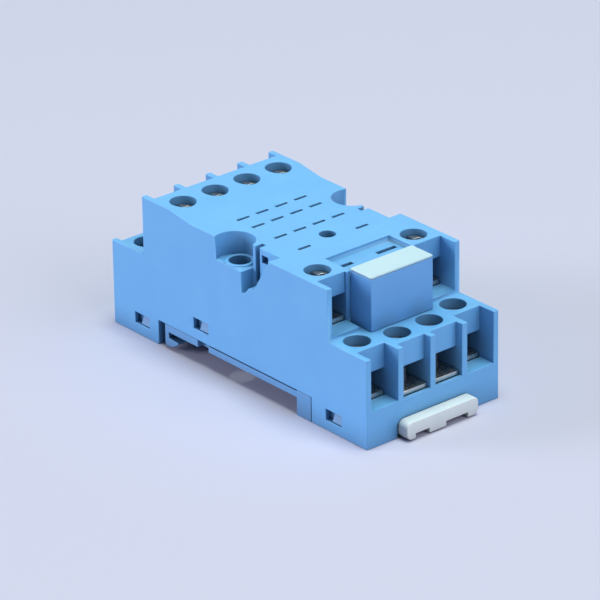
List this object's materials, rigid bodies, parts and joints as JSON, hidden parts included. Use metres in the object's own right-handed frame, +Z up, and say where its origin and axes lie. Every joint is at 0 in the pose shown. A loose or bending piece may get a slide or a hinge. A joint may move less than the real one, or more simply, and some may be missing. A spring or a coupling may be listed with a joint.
{
  "type": "relay socket",
  "caption": "Blue moulded socket for a plug-in relay, with tiered screw terminals, plate clamps, a plug-in module block and a sprung clip for a mounting rail.",
  "frame": {"origin": "middle of the underside, on the plane that both feet stand on", "axes": "+X towards the end with the rail clip's tab, +Y to the right, seen from the tab looking back along the socket, +Z up, the way the relay leaves"},
  "size_m": [0.072, 0.0304, 0.0278],
  "materials": {
    "housing_plastic": "fine satin moulded polymer, sky blue",
    "base_plastic": "satin moulded polymer, slightly greyer blue",
    "clip_plastic": "natural white polymer",
    "block_plastic": "satin moulded polymer, blue",
    "tag_plastic": "smooth pale polymer",
    "contact_metal": "plated spring bronze",
    "clamp_metal": "zinc-plated steel",
    "screw_metal": "zinc-plated steel"
  },
  "bodies": {
    "socket": {"housing": "housing_plastic", "base": "base_plastic", "module_block": "block_plastic", "marker_tag": "tag_plastic", "contact_1": "contact_metal", "contact_2": "contact_metal", "contact_3": "contact_metal", "contact_4": "contact_metal", "contact_5": "contact_metal", "contact_6": "contact_metal", "contact_7": "contact_metal", "contact_8": "contact_metal", "contact_9": "contact_metal", "contact_10": "contact_metal", "contact_11": "contact_metal", "contact_12": "contact_metal", "contact_13": "contact_metal", "contact_14": "contact_metal"},
    "rail_clip": {"rail_clip": "clip_plastic"},
    "clamp_1": {"clamp_plate_1": "clamp_metal"},
    "terminal_screw_1": {"screw_1": "screw_metal"},
    "clamp_2": {"clamp_plate_2": "clamp_metal"},
    "terminal_screw_2": {"screw_2": "screw_metal"},
    "clamp_3": {"clamp_plate_3": "clamp_metal"},
    "terminal_screw_3": {"screw_3": "screw_metal"},
    "clamp_4": {"clamp_plate_4": "clamp_metal"},
    "terminal_screw_4": {"screw_4": "screw_metal"},
    "clamp_5": {"clamp_plate_5": "clamp_metal"},
    "terminal_screw_5": {"screw_5": "screw_metal"},
    "clamp_6": {"clamp_plate_6": "clamp_metal"},
    "terminal_screw_6": {"screw_6": "screw_metal"},
    "clamp_7": {"clamp_plate_7": "clamp_metal"},
    "terminal_screw_7": {"screw_7": "screw_metal"},
    "clamp_8": {"clamp_plate_8": "clamp_metal"},
    "terminal_screw_8": {"screw_8": "screw_metal"},
    "clamp_9": {"clamp_plate_9": "clamp_metal"},
    "terminal_screw_9": {"screw_9": "screw_metal"},
    "clamp_10": {"clamp_plate_10": "clamp_metal"},
    "terminal_screw_10": {"screw_10": "screw_metal"},
    "clamp_11": {"clamp_plate_11": "clamp_metal"},
    "terminal_screw_11": {"screw_11": "screw_metal"},
    "clamp_12": {"clamp_plate_12": "clamp_metal"},
    "terminal_screw_12": {"screw_12": "screw_metal"},
    "clamp_13": {"clamp_plate_13": "clamp_metal"},
    "terminal_screw_13": {"screw_13": "screw_metal"},
    "clamp_14": {"clamp_plate_14": "clamp_metal"},
    "terminal_screw_14": {"screw_14": "screw_metal"}
  },
  "joints": [
    {"name": "rail_clip_pull", "type": "slide", "parent": "socket", "child": "rail_clip", "axis": [1, 0, 0], "range_m": [0, 0.0025], "stiffness_N_per_m": 1500, "springref_m": -0.0005},
    {"name": "clamp_lift_1", "type": "slide", "parent": "socket", "child": "clamp_1", "axis": [0, 0, -1], "range_m": [0, 0.004]},
    {"name": "screw_turn_1", "type": "hinge", "parent": "clamp_1", "child": "terminal_screw_1", "pos_m": [-0.02045, -0.01103, 0.0251], "axis": [0, 0, -1], "range_deg": [0, 2880]},
    {"name": "clamp_lift_2", "type": "slide", "parent": "socket", "child": "clamp_2", "axis": [0, 0, -1], "range_m": [0, 0.004]},
    {"name": "screw_turn_2", "type": "hinge", "parent": "clamp_2", "child": "terminal_screw_2", "pos_m": [-0.02045, -0.00367, 0.0251], "axis": [0, 0, -1], "range_deg": [0, 2880]},
    {"name": "clamp_lift_3", "type": "slide", "parent": "socket", "child": "clamp_3", "axis": [0, 0, -1], "range_m": [0, 0.004]},
    {"name": "screw_turn_3", "type": "hinge", "parent": "clamp_3", "child": "terminal_screw_3", "pos_m": [-0.02045, 0.00367, 0.0251], "axis": [0, 0, -1], "range_deg": [0, 2880]},
    {"name": "clamp_lift_4", "type": "slide", "parent": "socket", "child": "clamp_4", "axis": [0, 0, -1], "range_m": [0, 0.004]},
    {"name": "screw_turn_4", "type": "hinge", "parent": "clamp_4", "child": "terminal_screw_4", "pos_m": [-0.02045, 0.01103, 0.0251], "axis": [0, 0, -1], "range_deg": [0, 2880]},
    {"name": "clamp_lift_5", "type": "slide", "parent": "socket", "child": "clamp_5", "axis": [0, 0, -1], "range_m": [0, 0.004]},
    {"name": "screw_turn_5", "type": "hinge", "parent": "clamp_5", "child": "terminal_screw_5", "pos_m": [-0.03105, -0.01103, 0.0139], "axis": [0, 0, -1], "range_deg": [0, 2880]},
    {"name": "clamp_lift_6", "type": "slide", "parent": "socket", "child": "clamp_6", "axis": [0, 0, -1], "range_m": [0, 0.004]},
    {"name": "screw_turn_6", "type": "hinge", "parent": "clamp_6", "child": "terminal_screw_6", "pos_m": [-0.03105, -0.00367, 0.0139], "axis": [0, 0, -1], "range_deg": [0, 2880]},
    {"name": "clamp_lift_7", "type": "slide", "parent": "socket", "child": "clamp_7", "axis": [0, 0, -1], "range_m": [0, 0.004]},
    {"name": "screw_turn_7", "type": "hinge", "parent": "clamp_7", "child": "terminal_screw_7", "pos_m": [-0.03105, 0.00367, 0.0139], "axis": [0, 0, -1], "range_deg": [0, 2880]},
    {"name": "clamp_lift_8", "type": "slide", "parent": "socket", "child": "clamp_8", "axis": [0, 0, -1], "range_m": [0, 0.004]},
    {"name": "screw_turn_8", "type": "hinge", "parent": "clamp_8", "child": "terminal_screw_8", "pos_m": [-0.03105, 0.01103, 0.0139], "axis": [0, 0, -1], "range_deg": [0, 2880]},
    {"name": "clamp_lift_9", "type": "slide", "parent": "socket", "child": "clamp_9", "axis": [0, 0, -1], "range_m": [0, 0.004]},
    {"name": "screw_turn_9", "type": "hinge", "parent": "clamp_9", "child": "terminal_screw_9", "pos_m": [0.02625, -0.01103, 0.0139], "axis": [0, 0, -1], "range_deg": [0, 2880]},
    {"name": "clamp_lift_10", "type": "slide", "parent": "socket", "child": "clamp_10", "axis": [0, 0, -1], "range_m": [0, 0.004]},
    {"name": "screw_turn_10", "type": "hinge", "parent": "clamp_10", "child": "terminal_screw_10", "pos_m": [0.02825, -0.00367, 0.0139], "axis": [0, 0, -1], "range_deg": [0, 2880]},
    {"name": "clamp_lift_11", "type": "slide", "parent": "socket", "child": "clamp_11", "axis": [0, 0, -1], "range_m": [0, 0.004]},
    {"name": "screw_turn_11", "type": "hinge", "parent": "clamp_11", "child": "terminal_screw_11", "pos_m": [0.02825, 0.00367, 0.0139], "axis": [0, 0, -1], "range_deg": [0, 2880]},
    {"name": "clamp_lift_12", "type": "slide", "parent": "socket", "child": "clamp_12", "axis": [0, 0, -1], "range_m": [0, 0.004]},
    {"name": "screw_turn_12", "type": "hinge", "parent": "clamp_12", "child": "terminal_screw_12", "pos_m": [0.02625, 0.01103, 0.0139], "axis": [0, 0, -1], "range_deg": [0, 2880]},
    {"name": "clamp_lift_13", "type": "slide", "parent": "socket", "child": "clamp_13", "axis": [0, 0, -1], "range_m": [0, 0.004]},
    {"name": "screw_turn_13", "type": "hinge", "parent": "clamp_13", "child": "terminal_screw_13", "pos_m": [0.01605, -0.01103, 0.0245], "axis": [0, 0, -1], "range_deg": [0, 2880]},
    {"name": "clamp_lift_14", "type": "slide", "parent": "socket", "child": "clamp_14", "axis": [0, 0, -1], "range_m": [0, 0.004]},
    {"name": "screw_turn_14", "type": "hinge", "parent": "clamp_14", "child": "terminal_screw_14", "pos_m": [0.01605, 0.01103, 0.0245], "axis": [0, 0, -1], "range_deg": [0, 2880]}
  ],
  "couplings": [
    {"joint": "screw_turn_1", "follows": "clamp_lift_1", "rad_per_m": 12566},
    {"joint": "screw_turn_2", "follows": "clamp_lift_2", "rad_per_m": 12566},
    {"joint": "screw_turn_3", "follows": "clamp_lift_3", "rad_per_m": 12566},
    {"joint": "screw_turn_4", "follows": "clamp_lift_4", "rad_per_m": 12566},
    {"joint": "screw_turn_5", "follows": "clamp_lift_5", "rad_per_m": 12566},
    {"joint": "screw_turn_6", "follows": "clamp_lift_6", "rad_per_m": 12566},
    {"joint": "screw_turn_7", "follows": "clamp_lift_7", "rad_per_m": 12566},
    {"joint": "screw_turn_8", "follows": "clamp_lift_8", "rad_per_m": 12566},
    {"joint": "screw_turn_9", "follows": "clamp_lift_9", "rad_per_m": 12566},
    {"joint": "screw_turn_10", "follows": "clamp_lift_10", "rad_per_m": 12566},
    {"joint": "screw_turn_11", "follows": "clamp_lift_11", "rad_per_m": 12566},
    {"joint": "screw_turn_12", "follows": "clamp_lift_12", "rad_per_m": 12566},
    {"joint": "screw_turn_13", "follows": "clamp_lift_13", "rad_per_m": 12566},
    {"joint": "screw_turn_14", "follows": "clamp_lift_14", "rad_per_m": 12566}
  ]
}
